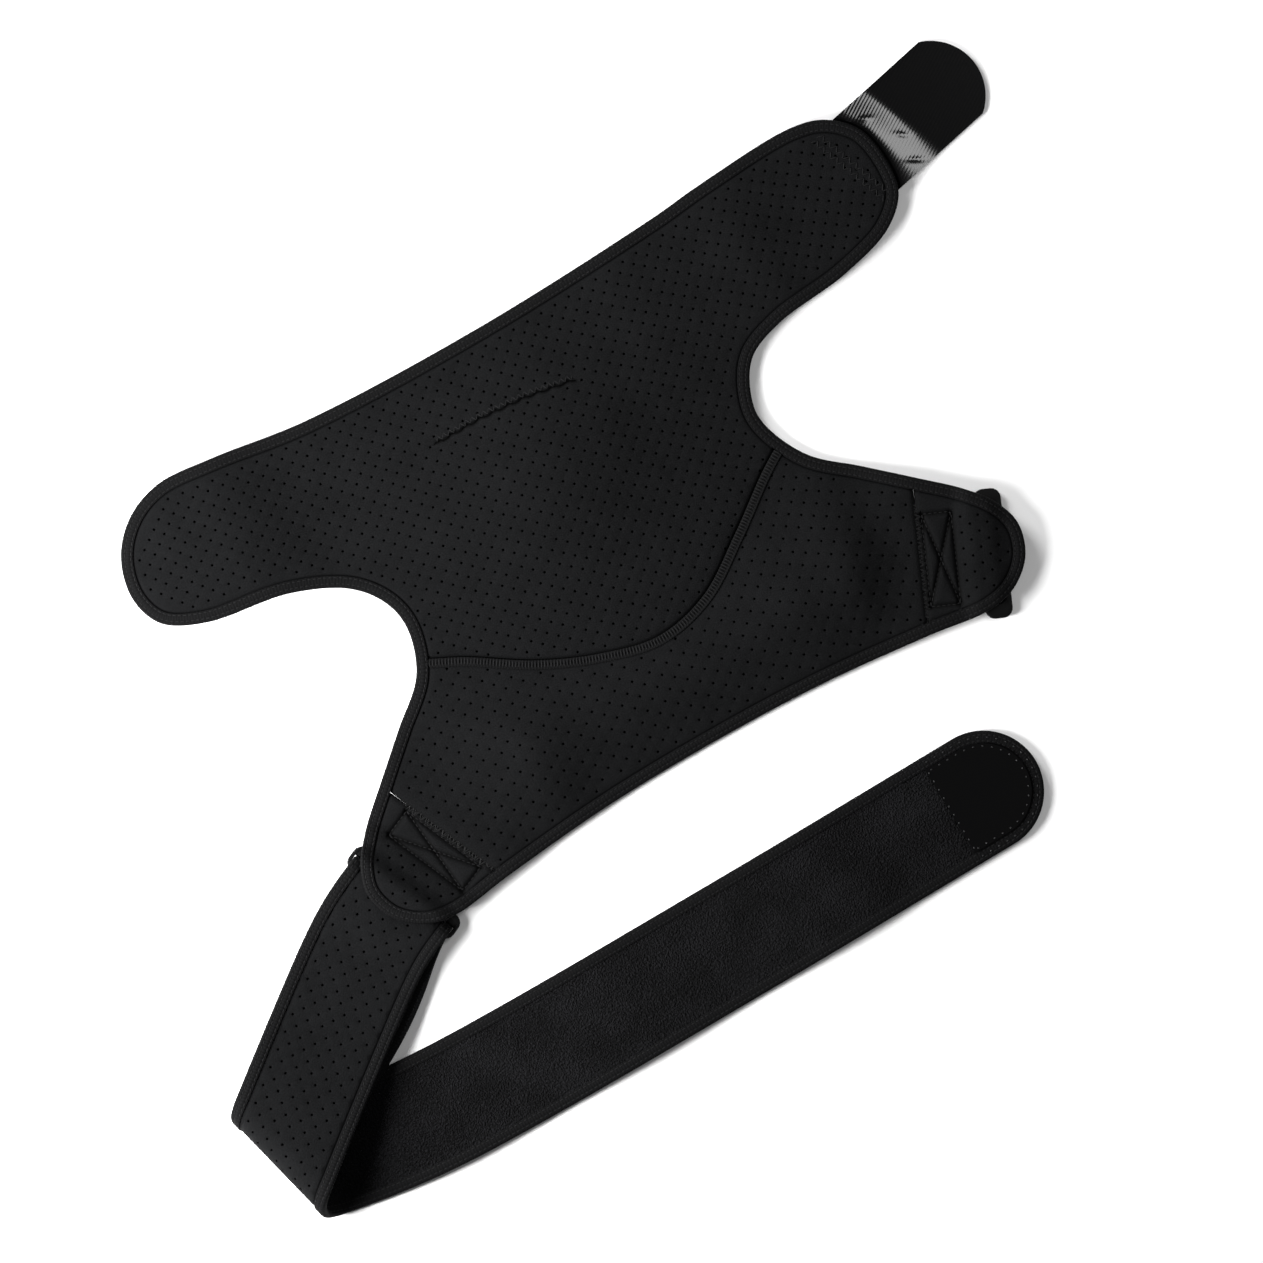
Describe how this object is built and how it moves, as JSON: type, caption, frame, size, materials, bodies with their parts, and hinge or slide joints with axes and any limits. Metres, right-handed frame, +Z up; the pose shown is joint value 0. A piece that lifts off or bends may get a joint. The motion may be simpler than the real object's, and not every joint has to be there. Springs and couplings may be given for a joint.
{
  "type": "shoulder brace",
  "caption": "Perforated neoprene shoulder brace laid flat, with an arm cuff, a chest panel, end rings and a folded chest strap.",
  "frame": {"origin": "middle of the bounding box, on the table that the brace lies on", "axes": "+X towards the cuff's hook tab, +Y towards the cuff's top edge, +Z up off the table; the skin side faces +Z"},
  "size_m": [0.5842, 0.376, 0.026],
  "materials": {
    "neoprene": "matt knitted face over foam, pierced with small vent holes",
    "edge_tape": "smooth stretch tape with two rows of stitches",
    "webbing": "plain woven webbing",
    "ring_plastic": "moulded, satin",
    "hook_film": "smooth moulded hook sheet, glossy"
  },
  "bodies": {
    "root": {"cuff_panel": "neoprene", "chest_panel": "neoprene", "end_pad_left": "neoprene", "end_pad_right": "neoprene", "edge_binding": "edge_tape", "ring_left": "ring_plastic", "ring_right": "ring_plastic", "ring_loop_left": "webbing", "ring_loop_right": "webbing", "strap": "neoprene", "strap_binding": "edge_tape", "strap_hook_patch": "hook_film", "strap_keeper_patch": "hook_film", "hook_tab": "hook_film"}
  },
  "joints": []
}
